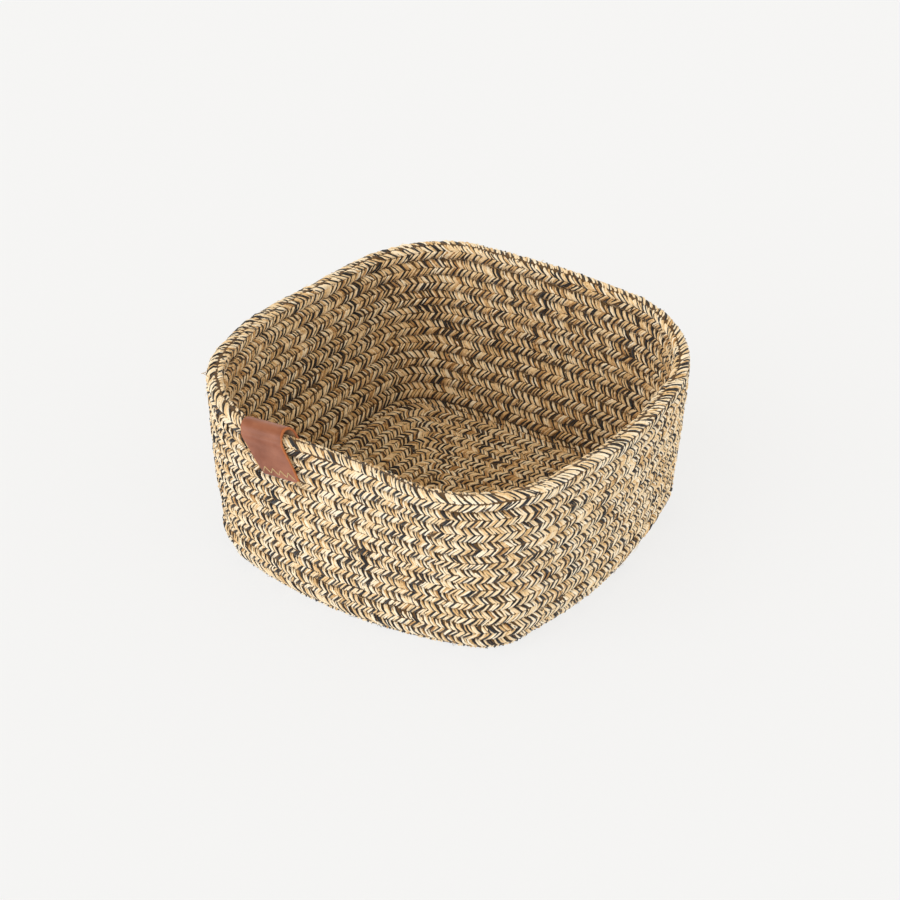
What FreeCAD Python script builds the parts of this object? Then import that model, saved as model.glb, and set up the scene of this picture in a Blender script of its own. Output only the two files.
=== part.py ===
"""Low rounded-square storage basket, coiled from one braided cord and sewn turn to turn.

The cord starts as a small coil in the middle of the base, is wound outwards in flat turns,
and is then stacked up in wall courses that end in the rim. Each turn of the cord is one
ring-shaped sub-part. A leather tab is folded over the rim near the front left corner.
Millimetres, +Z up, origin in the middle of the base on the surface it stands on.
+X is right, +Y is back.
"""
import FreeCAD, Part
import math
import os
import Sketcher

V = FreeCAD.Vector

DIMENSIONS = {
    # cord: a braid pressed to a rounded oblong where it meets its neighbours
    "cord_wide": 10.0,        # across the wall, and between turns of the base
    "cord_tall": 10.2,        # up the wall, and through the base
    "cord_round": 3.3,        # corner radius of the section
    # outside of the lowest wall course, before its tuck
    "foot_side": 114.0,       # centre to the middle of the left and right sides
    "foot_face": 117.5,       # centre to the middle of the front and back sides
    "foot_centre": 69.0,      # corner arcs' centres, along X and along Y
    "foot_corner": 37.0,      # corner radius
    "foot_tuck": 3.6,         # how far the lowest course is drawn in under the next
    # outside of the rim, which is soft and a little out of true
    "rim_right": 121.0,
    "rim_left": 123.5,
    "rim_back": 115.5,
    "rim_front": 110.5,
    "rim_centre": 56.5,
    "rim_corner": 61.5,
    # the first full turn round the centre coil
    "first_corner": 7.0,
    # sewing thread, bedded in the groove between two turns
    "thread": 0.7,
    "thread_depth": 0.9,
    "foot_thread_depth": 0.5,
    "foot_thread_drop": 0.5,
    # leather tab
    "tab_wide": 26.0,
    "tab_thick": 1.6,
    "tab_bend": 8.1,          # outside radius of its fold over the rim
    "tab_outer_leg": 24.0,    # from the fold's centre to the lower edge outside
    "tab_inner_leg": 21.0,
    "tab_x": -47.5,           # the fold's centre
    "tab_y": -111.8,
    "tab_level": 109.2,
    "tab_turn": 7.0,          # degrees about +Z, as the wall runs there
    "tab_tilt": 7.0,          # degrees, as the wall slopes there
    "tab_lean": 25.0,         # degrees, how far the tab hangs askew
    # stitches that hold the tab
    "stitch": 0.9,
    "stitch_long": 3.4,
    "stitch_pitch": 4.8,
    "stitch_drop": 19.5,      # below the fold's centre
    "stitch_gap": 0.02,
}
COURSES = 11                  # wall courses with the rim
TURNS = 10                    # turns of the base with the centre coil
STITCHES = 5                  # in each of the tab's two rows

doc = FreeCAD.newDocument("coiled_basket")
sheet = doc.addObject("Spreadsheet::Sheet", "Sheet")
for row, (alias, number) in enumerate(DIMENSIONS.items(), 1):
    sheet.set(f"B{row}", str(number))
    sheet.setAlias(f"B{row}", alias)
doc.recompute()


class Size:
    """A number together with the spreadsheet formula that gives it."""

    def __init__(self, number, formula):
        self.number = number
        self.formula = formula

    def joined(self, other, sign, number):
        return Size(number, f"({self.formula} {sign} {other.formula})")

    def __add__(self, other):
        other = as_size(other)
        return self.joined(other, "+", self.number + other.number)

    def __sub__(self, other):
        other = as_size(other)
        return self.joined(other, "-", self.number - other.number)

    def __mul__(self, other):
        other = as_size(other)
        return self.joined(other, "*", self.number * other.number)


def as_size(value):
    return value if isinstance(value, Size) else Size(value, f"{value:.6f}")


def size(alias):
    return Size(DIMENSIONS[alias], f"Sheet.{alias}")


def between(start, finish, share):
    return start + (finish - start) * share


# --- outlines ----------------------------------------------------------------------------

def wall_outline(step, inset):
    """Outline of the wall at a course number, 0 at the foot and COURSES - 1 at the rim."""
    share = step / (COURSES - 1)
    side, face = size("foot_side"), size("foot_face")
    return {
        "right": between(side, size("rim_right"), share) - inset,
        "left": between(side, size("rim_left"), share) - inset,
        "back": between(face, size("rim_back"), share) - inset,
        "front": between(face, size("rim_front"), share) - inset,
        "centre": between(size("foot_centre"), size("rim_centre"), share),
        "corner": between(size("foot_corner"), size("rim_corner"), share) - inset,
    }


def base_outline(turn):
    """Centre line of a turn of the base: the foot's, shrunk, with corners that stay soft."""
    share = (turn + 0.5) / (TURNS + 0.5)
    foot_inset = size("cord_wide") * 0.5 + size("foot_tuck")
    foot_corner = size("foot_corner") - foot_inset
    side = (size("foot_side") - foot_inset) * share
    face = (size("foot_face") - foot_inset) * share
    corner = between(size("first_corner"), foot_corner, turn / TURNS)
    centre = (size("foot_centre") + foot_corner) * share - corner
    return {"right": side, "left": side, "back": face, "front": face,
            "centre": centre, "corner": corner}


# --- sketches ----------------------------------------------------------------------------

def origin_plane(body, role):
    return next(item for item in body.Origin.OriginFeatures if item.Role == role)


def new_sketch(body, name, role):
    sketch = body.newObject("Sketcher::SketchObject", name)
    sketch.AttachmentSupport = [(origin_plane(body, role), "")]
    sketch.MapMode = "FlatFace"
    return sketch


def bind(sketch, kind, *where, value):
    """Add a dimension to a sketch and tie it to the spreadsheet."""
    number = sketch.addConstraint(Sketcher.Constraint(kind, *where, value.number))
    sketch.setExpression(f"Constraints[{number}]", value.formula)


def join(sketch, *where):
    sketch.addConstraint(Sketcher.Constraint(*where))


def circle_arc(x, y, radius, start, finish):
    circle = Part.Circle(V(x, y, 0), V(0, 0, 1), radius)
    return Part.ArcOfCircle(circle, start, finish)


def bowed_side(middle, centre, corner):
    """Radius of a side's arc and half its angle; both negative where the side is hollow."""
    bow = middle - centre - corner
    radius = (centre ** 2 + bow ** 2) / (2 * bow) + corner
    half_angle = math.atan2(centre, abs(radius - corner - bow))
    return radius, math.copysign(half_angle, bow)


def side_arc(direction, middle, radius, start, finish):
    """Arc of a side, and which of its ends come first and last going anticlockwise."""
    x = math.cos(direction) * (middle - radius)
    y = math.sin(direction) * (middle - radius)
    if radius > 0:
        return circle_arc(x, y, radius, direction + start, direction + finish), 1, 2
    back = direction + math.pi
    return circle_arc(x, y, -radius, back + finish, back + start), 2, 1


def outline_sketch(body, outline):
    """Closed path of four corner arcs and four bowed sides, each side in two halves."""
    sketch = new_sketch(body, "path", "XY_Plane")
    names = ("right", "back", "left", "front")
    centre = outline["centre"].number
    corner = outline["corner"].number
    middles = [outline[name].number for name in names]
    sides = [bowed_side(middle, centre, corner) for middle in middles]
    signs = ((1, 1), (-1, 1), (-1, -1), (1, -1))
    pieces = []
    for quarter in range(4):
        following = (quarter + 1) % 4
        direction = quarter * math.pi / 2
        onward = direction + math.pi / 2
        radius, lean = sides[quarter]
        next_radius, next_lean = sides[following]
        x, y = (centre * sign for sign in signs[quarter])
        pieces.append(side_arc(direction, middles[quarter], radius, 0, lean))
        pieces.append((circle_arc(x, y, corner, direction + lean, onward - next_lean), 1, 2))
        pieces.append(side_arc(onward, middles[following], next_radius, -next_lean, 0))
    edges = [sketch.addGeometry(piece[0], False) for piece in pieces]
    count = len(edges)
    for number in range(count):
        following = (number + 1) % count
        join(sketch, "Tangent", edges[number], pieces[number][2],
             edges[following], pieces[following][1])
    corners = edges[1::3]
    bind(sketch, "Radius", corners[0], value=outline["corner"])
    bind(sketch, "DistanceX", -1, 1, corners[0], 3, value=outline["centre"])
    bind(sketch, "DistanceY", -1, 1, corners[0], 3, value=outline["centre"])
    join(sketch, "Symmetric", corners[0], 3, corners[1], 3, -2)
    join(sketch, "Symmetric", corners[0], 3, corners[2], 3, -1, 1)
    join(sketch, "Symmetric", corners[0], 3, corners[3], 3, -1)
    for other in corners[1:]:
        join(sketch, "Equal", corners[0], other)
    for quarter, name in enumerate(names):
        first = 3 * quarter
        middle = (edges[first], pieces[first][1])
        upright = quarter % 2 == 1
        join(sketch, "PointOnObject", *middle, -2 if upright else -1)
        join(sketch, "Equal", edges[first], edges[first - 1])
        ends = ((-1, 1), middle) if quarter < 2 else (middle, (-1, 1))
        bind(sketch, "DistanceY" if upright else "DistanceX", *ends[0], *ends[1],
             value=outline[name])
    return sketch


def cord_section(body, middle):
    """Rounded oblong section of the cord, centred on the middle of the right side."""
    sketch = new_sketch(body, "section", "XZ_Plane")
    half_wide, half_tall = size("cord_wide") * 0.5, size("cord_tall") * 0.5
    right, left = middle + half_wide, middle - half_wide
    low, high, soft = -half_tall.number, half_tall.number, DIMENSIONS["cord_round"]
    lines = []
    arcs = []
    corners = ((left.number, low), (right.number, low), (right.number, high),
               (left.number, high))
    for number, (x, y) in enumerate(corners):
        turn = number * math.pi / 2
        along = V(math.cos(turn), math.sin(turn), 0)
        inward = V(-along.y, along.x, 0)
        x_next, y_next = corners[(number + 1) % 4]
        start = V(x, y, 0) + along * soft
        finish = V(x_next, y_next, 0) - along * soft
        lines.append(sketch.addGeometry(Part.LineSegment(start, finish), False))
        hub = finish + inward * soft
        arc = circle_arc(hub.x, hub.y, soft, turn - math.pi / 2, turn)
        arcs.append(sketch.addGeometry(arc, False))
    for number in range(4):
        join(sketch, "Tangent", lines[number], 2, arcs[number], 1)
        join(sketch, "Tangent", arcs[number], 2, lines[(number + 1) % 4], 1)
        join(sketch, "Vertical" if number % 2 else "Horizontal", lines[number])
    for other in arcs[1:]:
        join(sketch, "Equal", arcs[0], other)
    bind(sketch, "Radius", arcs[0], value=size("cord_round"))
    bind(sketch, "DistanceX", -1, 1, lines[1], 1, value=right)
    bind(sketch, "DistanceX", -1, 1, lines[3], 1, value=left)
    bind(sketch, "DistanceY", -1, 1, lines[2], 1, value=half_tall)
    bind(sketch, "DistanceY", lines[0], 1, -1, 1, value=half_tall)
    return sketch


def thread_section(body, middle):
    sketch = new_sketch(body, "section", "XZ_Plane")
    radius = size("thread") * 0.5
    circle = Part.Circle(V(middle.number, 0, 0), V(0, 0, 1), radius.number)
    edge = sketch.addGeometry(circle, False)
    join(sketch, "PointOnObject", edge, 3, -1)
    bind(sketch, "DistanceX", -1, 1, edge, 3, value=middle)
    bind(sketch, "Radius", edge, value=radius)
    return sketch


# --- sub-parts ---------------------------------------------------------------------------

def ring(name, outline, level, section):
    """One closed turn of cord or thread, lying level."""
    body = doc.addObject("PartDesign::Body", name)
    body.Label = name
    path = outline_sketch(body, outline)
    profile = section(body, outline["right"])
    sweep = body.newObject("PartDesign::AdditivePipe", "turn")
    sweep.Profile = (profile, [""])
    sweep.Spine = (path, [""])
    body.setExpression("Placement.Base.z", level.formula)
    return body


def centre_coil():
    """The cord's start, curled round on itself: a solid button in the middle of the base."""
    body = doc.addObject("PartDesign::Body", "base_centre_coil")
    body.Label = "base_centre_coil"
    sketch = new_sketch(body, "half_section", "XZ_Plane")
    radius, tall, soft = size("cord_wide"), size("cord_tall"), size("cord_round")
    wide, high, bend = radius.number, tall.number, soft.number
    floor = Part.LineSegment(V(0, 0, 0), V(wide - bend, 0, 0))
    outside = Part.LineSegment(V(wide, bend, 0), V(wide, high - bend, 0))
    top = Part.LineSegment(V(wide - bend, high, 0), V(0, high, 0))
    axis = Part.LineSegment(V(0, high, 0), V(0, 0, 0))
    low_arc = circle_arc(wide - bend, bend, bend, -math.pi / 2, 0)
    high_arc = circle_arc(wide - bend, high - bend, bend, 0, math.pi / 2)
    shapes = (floor, low_arc, outside, high_arc, top, axis)
    edges = [sketch.addGeometry(shape, False) for shape in shapes]
    for first, second in zip(edges[:4], edges[1:5]):
        join(sketch, "Tangent", first, 2, second, 1)
    join(sketch, "Coincident", edges[4], 2, edges[5], 1)
    join(sketch, "Coincident", edges[5], 2, edges[0], 1)
    join(sketch, "Coincident", edges[0], 1, -1, 1)
    join(sketch, "Horizontal", edges[0])
    join(sketch, "Vertical", edges[2])
    join(sketch, "Horizontal", edges[4])
    join(sketch, "Vertical", edges[5])
    join(sketch, "Equal", edges[1], edges[3])
    bind(sketch, "Radius", edges[1], value=soft)
    bind(sketch, "DistanceX", -1, 1, edges[2], 1, value=radius)
    bind(sketch, "DistanceY", edges[5], 2, edges[5], 1, value=tall)
    spin = body.newObject("PartDesign::Revolution", "spin")
    spin.Profile = (sketch, [""])
    spin.ReferenceAxis = (sketch, ["V_Axis"])
    spin.Angle = 360
    return body


def group(name, members):
    compound = doc.addObject("Part::Compound", name)
    compound.Label = name
    compound.Links = members
    return compound


def base_seams():
    """Thread between the turns of the base, in the groove that shows inside the basket."""
    level = size("cord_tall") - size("thread_depth")
    seams = []
    for turn in range(TURNS):
        outline = base_outline(turn + 0.5)
        seams.append(ring(f"base_seam_{turn + 1}", outline, level, thread_section))
    return group("base_seam_thread", seams)


def wall_seams():
    """Thread between the wall courses, in the groove that shows outside."""
    depth = size("thread_depth")
    foot_depth = size("foot_tuck") + size("foot_thread_depth")
    foot_level = size("cord_tall") - size("foot_thread_drop")
    seams = [ring("wall_seam_1", wall_outline(0, foot_depth), foot_level, thread_section)]
    for course in range(1, COURSES - 1):
        outline = wall_outline(course + 0.5, depth)
        level = size("cord_tall") * (course + 1)
        seams.append(ring(f"wall_seam_{course + 1}", outline, level, thread_section))
    return group("wall_seam_thread", seams)


def tab_place():
    """Where the tab's own axes are: +X along the wall, +Y into the basket."""
    turn = FreeCAD.Rotation(V(0, 0, 1), DIMENSIONS["tab_turn"])
    tilt = FreeCAD.Rotation(V(1, 0, 0), DIMENSIONS["tab_tilt"])
    spot = V(DIMENSIONS["tab_x"], DIMENSIONS["tab_y"], DIMENSIONS["tab_level"])
    return FreeCAD.Placement(spot, turn.multiply(tilt))


def tab_fold(body):
    """The strip's edge, an upside-down U, in a plane that leans along the wall."""
    sketch = new_sketch(body, "fold", "YZ_Plane")
    lean = FreeCAD.Rotation(V(1, 0, 0), -DIMENSIONS["tab_lean"])
    sketch.AttachmentOffset = FreeCAD.Placement(V(0, 0, 0), lean)
    outside = size("tab_bend")
    inside = outside - size("tab_thick")
    outer_end, inner_end = size("tab_outer_leg"), size("tab_inner_leg")
    wide, narrow = outside.number, inside.number
    low, high = -outer_end.number, -inner_end.number
    shapes = (
        Part.LineSegment(V(wide, high, 0), V(wide, 0, 0)),
        circle_arc(0, 0, wide, 0, math.pi),
        Part.LineSegment(V(-wide, 0, 0), V(-wide, low, 0)),
        Part.LineSegment(V(-wide, low, 0), V(-narrow, low, 0)),
        Part.LineSegment(V(-narrow, low, 0), V(-narrow, 0, 0)),
        circle_arc(0, 0, narrow, 0, math.pi),
        Part.LineSegment(V(narrow, 0, 0), V(narrow, high, 0)),
        Part.LineSegment(V(narrow, high, 0), V(wide, high, 0)),
    )
    edges = [sketch.addGeometry(shape, False) for shape in shapes]
    outer_up, outer_arc, outer_down, low_edge, inner_up, inner_arc, inner_down, high_edge = edges
    join(sketch, "Tangent", outer_up, 2, outer_arc, 1)
    join(sketch, "Tangent", outer_arc, 2, outer_down, 1)
    join(sketch, "Tangent", inner_up, 2, inner_arc, 2)
    join(sketch, "Tangent", inner_arc, 1, inner_down, 1)
    join(sketch, "Coincident", outer_down, 2, low_edge, 1)
    join(sketch, "Coincident", low_edge, 2, inner_up, 1)
    join(sketch, "Coincident", inner_down, 2, high_edge, 1)
    join(sketch, "Coincident", high_edge, 2, outer_up, 1)
    join(sketch, "Coincident", outer_arc, 3, -1, 1)
    join(sketch, "Coincident", inner_arc, 3, -1, 1)
    for leg in (outer_up, outer_down, inner_up, inner_down):
        join(sketch, "Vertical", leg)
    join(sketch, "Horizontal", low_edge)
    join(sketch, "Horizontal", high_edge)
    bind(sketch, "Radius", outer_arc, value=outside)
    bind(sketch, "Radius", inner_arc, value=inside)
    bind(sketch, "DistanceY", outer_down, 2, -1, 1, value=outer_end)
    bind(sketch, "DistanceY", outer_up, 1, -1, 1, value=inner_end)
    return sketch


def leather_tab():
    body = doc.addObject("PartDesign::Body", "leather_tab")
    body.Label = "leather_tab"
    strip = body.newObject("PartDesign::Pad", "strip")
    strip.Profile = (tab_fold(body), [""])
    strip.UseCustomVector = True
    strip.Direction = V(1, 0, 0)
    strip.AlongSketchNormal = False
    strip.setExpression("Length", "Sheet.tab_wide")
    strip.SideType = "Symmetric"
    body.Placement = tab_place()
    return body


def tab_stitches():
    """A plain row of stitches across the foot of each leg of the tab."""
    drop = DIMENSIONS["stitch_drop"]
    reach = DIMENSIONS["tab_bend"] + DIMENSIONS["stitch"] / 2 + DIMENSIONS["stitch_gap"]
    askew = drop * math.tan(math.radians(DIMENSIONS["tab_lean"]))
    upright = FreeCAD.Rotation(V(0, 1, 0), 90)
    threads = []
    for number in range(2 * STITCHES):
        leg, place = divmod(number, STITCHES)
        side = reach if leg else -reach
        middle = askew + (place - (STITCHES - 1) / 2) * DIMENSIONS["stitch_pitch"]
        stitch = doc.addObject("Part::Cylinder", f"stitch_{number + 1}")
        stitch.setExpression("Radius", "Sheet.stitch / 2")
        stitch.setExpression("Height", "Sheet.stitch_long")
        start = V(middle - DIMENSIONS["stitch_long"] / 2, side, -drop)
        stitch.Placement = tab_place().multiply(FreeCAD.Placement(start, upright))
        threads.append(stitch)
    return group("tab_stitches", threads)


def cord_turns():
    """Every turn of the cord, from the middle of the base to the rim."""
    half_tall, half_wide = size("cord_tall") * 0.5, size("cord_wide") * 0.5
    turns = [centre_coil()]
    for turn in range(1, TURNS):
        turns.append(ring(f"base_turn_{turn}", base_outline(turn), half_tall, cord_section))
    for course in range(COURSES):
        inset = half_wide if course else half_wide + size("foot_tuck")
        name = "rim_course" if course == COURSES - 1 else f"wall_course_{course + 1}"
        level = half_tall + size("cord_tall") * course
        turns.append(ring(name, wall_outline(course, inset), level, cord_section))
    return turns


def fault(item):
    """What is wrong with a document object, or an empty string."""
    if "Invalid" in item.State or "Error" in item.State:
        return f"{item.Label}: {item.State}"
    if item.isDerivedFrom("Sketcher::SketchObject") and not item.FullyConstrained:
        return f"{item.Label} of {item.Name} is loose"
    return ""


def main():
    subparts = cord_turns() + [base_seams(), wall_seams(), leather_tab(), tab_stitches()]
    doc.recompute()
    faults = [text for text in map(fault, doc.Objects) if text]
    for subpart in subparts:
        if subpart.Shape.isNull() or not subpart.Shape.isValid():
            faults.append(f"{subpart.Label}: bad shape")
    if faults:
        raise RuntimeError("; ".join(faults))
    os.makedirs("parts", exist_ok=True)
    for subpart in subparts:
        subpart.Shape.exportStep(f"parts/{subpart.Label}.step")
        volume = subpart.Shape.Volume / 1000
        print(f"{subpart.Label}: {len(subpart.Shape.Solids)} solid(s), {volume:.2f} cm3")


main()
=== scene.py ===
"""Looks of the low rounded-square storage basket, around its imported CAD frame.

Every turn of the cord is braided from single yarns, the turns are sewn together with a
zigzag thread, and a leather tab is folded over the rim. Lengths are in millimetres up to
the moment a mesh is made, which is in metres. +Z is up, +X right, +Y back.
"""

import math

import bpy
import numpy as np
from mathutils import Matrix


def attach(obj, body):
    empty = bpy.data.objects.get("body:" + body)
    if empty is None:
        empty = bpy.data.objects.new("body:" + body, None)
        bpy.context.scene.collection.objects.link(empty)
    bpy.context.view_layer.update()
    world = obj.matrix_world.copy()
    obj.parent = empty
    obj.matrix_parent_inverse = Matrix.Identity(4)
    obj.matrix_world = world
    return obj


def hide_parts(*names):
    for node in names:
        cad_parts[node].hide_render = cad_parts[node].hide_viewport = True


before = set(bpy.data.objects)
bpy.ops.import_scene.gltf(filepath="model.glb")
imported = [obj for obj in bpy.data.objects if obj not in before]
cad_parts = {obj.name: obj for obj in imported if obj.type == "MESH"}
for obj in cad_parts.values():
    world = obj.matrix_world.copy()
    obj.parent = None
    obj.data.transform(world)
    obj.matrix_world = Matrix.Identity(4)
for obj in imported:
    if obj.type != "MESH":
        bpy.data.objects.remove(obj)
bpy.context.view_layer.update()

MM = 0.001
RNG = np.random.default_rng(20481)

# Cord and coil, as in the CAD model
COURSES = 11
TURNS = 10
CORD_WIDE = 10.0
CORD_TALL = 10.2
FOOT_TUCK = 3.6
FIRST_CORNER = 7.0
SIDES = ("right", "back", "left", "front")
FOOT = {"right": 114.0, "back": 117.5, "left": 114.0, "front": 117.5, "centre": 69.0, "corner": 37.0}
RIM = {"right": 121.0, "back": 115.5, "left": 123.5, "front": 110.5, "centre": 56.5, "corner": 61.5}
HEIGHT = COURSES * CORD_TALL

# The rim isn't level: cosine and sine parts of its rise and fall round the basket
WAVE = ((-2.606, 2.739), (-2.634, 1.456), (-1.724, -5.752), (-1.13, 0.557))

# Braid
PITCH = 3.95         # one float to the next, along the cord
SLANT = 5.2          # how far a float runs along the cord as it crosses its column
YARN = 0.56          # half the width of a yarn
FACE_HALF = math.radians(80)
CORE_DEPTH = 0.85
CORE_MEET = 0.25     # how far the fillings of neighbouring turns reach past their yarns
TIP_RISE = 0.16      # how far above the middle of the cord's faces its floats meet

# The soft wall draws in towards the base, more on some sides than on others. By direction,
# every 45 degrees from the right: how far at the foot, and between which levels
DRAW_IN = (0.0, 1.0, 12.5, 6.0, 11.0, 0.5, 2.5, 2.5)
DRAW_TOP = (60.0, 65.0, 62.0, 60.0, 72.0, 68.0, 62.0, 86.0)
DRAW_END = (10.0, 12.0, 10.0, 10.0, 10.0, 10.0, 10.0, 40.0)
FOOT_ROLL = 0.5      # how much further the lowest course is tucked under

# Sections, in the Turn class's terms
OBLONG = 4.4         # power of the usual section: higher is squarer
RIM_OBLONG = 2.7
SNUG = 1.04          # how much taller a course is than its share of the wall
LEAST_HALF, MOST_HALF = 4.8, 6.8
FOOT_EXTRA, RIM_EXTRA = 0.45, 0.2

# Base turns
COIL_RADIUS = 5.1
BASE_LAP = 2.0       # how far the last turn reaches under the wall
BASE_SNUG = 1.10
BASE_LIFT = 0.3      # keeps the yarns off the table


# --- outlines ----------------------------------------------------------------------------

def inset_by(outline, inset):
    return {key: value - (0 if key == "centre" else inset) for key, value in outline.items()}


def wall_outline(step, inset):
    share = step / (COURSES - 1)
    shape = {key: FOOT[key] + (RIM[key] - FOOT[key]) * share for key in FOOT}
    return inset_by(shape, inset)


def base_outline(turn):
    share = (turn + 0.5) / (TURNS + 0.5)
    foot = inset_by(FOOT, CORD_WIDE * 0.5 + FOOT_TUCK)
    corner = FIRST_CORNER + (foot["corner"] - FIRST_CORNER) * turn / TURNS
    shape = {key: foot[key] * share for key in SIDES}
    shape["corner"] = corner
    shape["centre"] = (foot["centre"] + foot["corner"]) * share - corner
    return shape


def outline_points(outline, spacing=1.0):
    """The closed line as evenly spaced points, anticlockwise from the middle of the right."""
    centre, corner = outline["centre"], outline["corner"]
    arcs = []
    for name in SIDES:
        bow = outline[name] - centre - corner
        radius = (centre ** 2 + bow ** 2) / (2 * bow) + corner
        lean = math.copysign(math.atan2(centre, abs(radius - corner - bow)), bow)
        arcs.append((outline[name], radius, lean))
    signs = ((1, 1), (-1, 1), (-1, -1), (1, -1))
    runs = []
    for quarter in range(4):
        direction = quarter * math.pi / 2
        middle, radius, lean = arcs[quarter]
        next_lean = arcs[(quarter + 1) % 4][2]
        turn = np.linspace(-lean, lean, 161)[:-1]
        hub = (middle - radius) * np.array([math.cos(direction), math.sin(direction)])
        runs.append(hub + radius * np.stack([np.cos(direction + turn), np.sin(direction + turn)], 1))
        turn = np.linspace(direction + lean, direction + math.pi / 2 - next_lean, 161)[:-1]
        hub = centre * np.array(signs[quarter])
        runs.append(hub + corner * np.stack([np.cos(turn), np.sin(turn)], 1))
    line = np.concatenate(runs)
    line = np.roll(line, -80, axis=0)
    return even(line, spacing)


def even(line, spacing):
    loop = np.vstack([line, line[:1]])
    steps = np.linalg.norm(np.diff(loop, axis=0), axis=1)
    along = np.concatenate([[0], np.cumsum(steps)])
    count = max(24, int(round(along[-1] / spacing)))
    where = np.linspace(0, along[-1], count + 1)[:-1]
    return np.stack([np.interp(where, along, loop[:, axis]) for axis in range(loop.shape[1])], 1)


def rim_wave(angle, level):
    rise = sum(c * np.cos((k + 1) * angle) + s * np.sin((k + 1) * angle)
               for k, (c, s) in enumerate(WAVE))
    return rise * np.clip(level / HEIGHT, 0, 1.1) ** 1.5


def by_direction(table, angle):
    """Smooth value between the table's eight directions."""
    place = np.mod(angle, 2 * math.pi) / (math.pi / 4)
    index = np.floor(place).astype(int)
    share = place - index
    share = share * share * (3 - 2 * share)
    values = np.array(table)
    return values[index % 8] * (1 - share) + values[(index + 1) % 8] * share


def draw_in(line, level):
    """Moves points of the wall at a level towards the middle, as the soft wall stands."""
    angle = np.arctan2(line[:, 1], line[:, 0])
    top, end = by_direction(DRAW_TOP, angle), by_direction(DRAW_END, angle)
    share = np.clip((top - level) / (top - end), 0, 1)
    move = by_direction(DRAW_IN, angle) * share * share * (3 - 2 * share)
    return line * (1 - move / np.linalg.norm(line, axis=1))[:, None]


def drift(angle, level, seed):
    """Slow wander of a hand-sewn cord: neighbours wander nearly alike."""
    total = 0
    for k in range(2, 8):
        phase = seed * 1.7 + k * 2.3 + level * 0.035 * (1 + 0.3 * k)
        total = total + np.cos(k * angle + phase) / k
    return total * 0.45


# --- turns of the cord -------------------------------------------------------------------

class Turn:
    """One turn of the cord: its centre line, and an oblong section that follows it.

    An angle of 0 faces outwards on the wall and down on the base, 90 degrees faces up on
    the wall and outwards on the base.
    """

    def __init__(self, centre, face, grow, half_face, half_grow, power=OBLONG):
        self.power = power
        steps = np.linalg.norm(np.diff(np.vstack([centre, centre[:1]]), axis=0), axis=1)
        self.length = float(steps.sum())
        self.along = np.concatenate([[0], np.cumsum(steps)])
        rows = np.hstack([centre, face, grow, np.stack([half_face, half_grow], 1)])
        self.rows = np.vstack([rows, rows[:1]])

    def at(self, along):
        where = np.mod(along, self.length)
        return np.stack([np.interp(where, self.along, column) for column in self.rows.T], -1)

    def point(self, along, angle, depth):
        row = self.at(along)
        cos, sin = np.cos(angle), np.sin(angle)
        power = self.power
        total = np.abs(cos / row[..., 9]) ** power + np.abs(sin / row[..., 10]) ** power
        reach = (total ** (-1 / power) - depth)[..., None]
        return row[..., :3] + reach * (cos[..., None] * row[..., 3:6] + sin[..., None] * row[..., 6:9])


def flat_normals(line):
    ahead = np.roll(line, -1, axis=0) - np.roll(line, 1, axis=0)
    ahead = ahead / np.linalg.norm(ahead, axis=1)[:, None]
    return np.stack([ahead[:, 1], -ahead[:, 0]], 1)


def wall_centre(step, count=813):
    """Centre line of the wall's cord at a course number, which need not be whole."""
    tuck = (FOOT_TUCK + FOOT_ROLL) * max(0.0, 1 - step) ** 2
    line = outline_points(wall_outline(step, CORD_WIDE / 2 + tuck))
    place = np.linspace(0, len(line), count + 1)[:-1]
    loop = np.vstack([line, line[:1]])
    line = np.stack([np.interp(place, np.arange(len(loop)), loop[:, axis]) for axis in (0, 1)], 1)
    level = CORD_TALL * (step + 0.5)
    line = draw_in(line, level)
    angle = np.arctan2(line[:, 1], line[:, 0])
    loose = min(1.0, max(0.0, step) / 2)
    line = line + flat_normals(line) * (0.8 * loose * drift(angle, level, 1))[:, None]
    height = level + rim_wave(angle, level) + 0.45 * loose * drift(angle, level, 2)
    return np.column_stack([line, height])


def unit(vectors):
    return vectors / np.linalg.norm(vectors, axis=-1, keepdims=True)


def wall_turn(course):
    centre = wall_centre(course)
    above = wall_centre(course + 1) if course < COURSES - 1 else 2 * centre - wall_centre(course - 1)
    below = wall_centre(course - 1) if course > 0 else 2 * centre - above
    grow = unit(above - below)
    apart = np.linalg.norm(above - centre, axis=1) + np.linalg.norm(centre - below, axis=1)
    normal = flat_normals(centre[:, :2])
    face = np.column_stack([normal, np.zeros(len(centre))])
    face = unit(face - (face * grow).sum(axis=1)[:, None] * grow)
    angle = np.arctan2(centre[:, 1], centre[:, 0])
    swell = 0.15 * drift(angle, centre[:, 2].mean(), 5)
    half_grow = np.clip(apart / 4, LEAST_HALF, MOST_HALF) * SNUG
    power = OBLONG
    if course == 0:
        half_grow = np.full(len(centre), CORD_TALL / 2 + FOOT_EXTRA)
    if course == COURSES - 1:
        half_grow = np.full(len(centre), CORD_TALL / 2 + RIM_EXTRA)
        power = RIM_OBLONG
    return Turn(centre, face, grow, CORD_WIDE / 2 + swell, half_grow, power)


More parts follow.
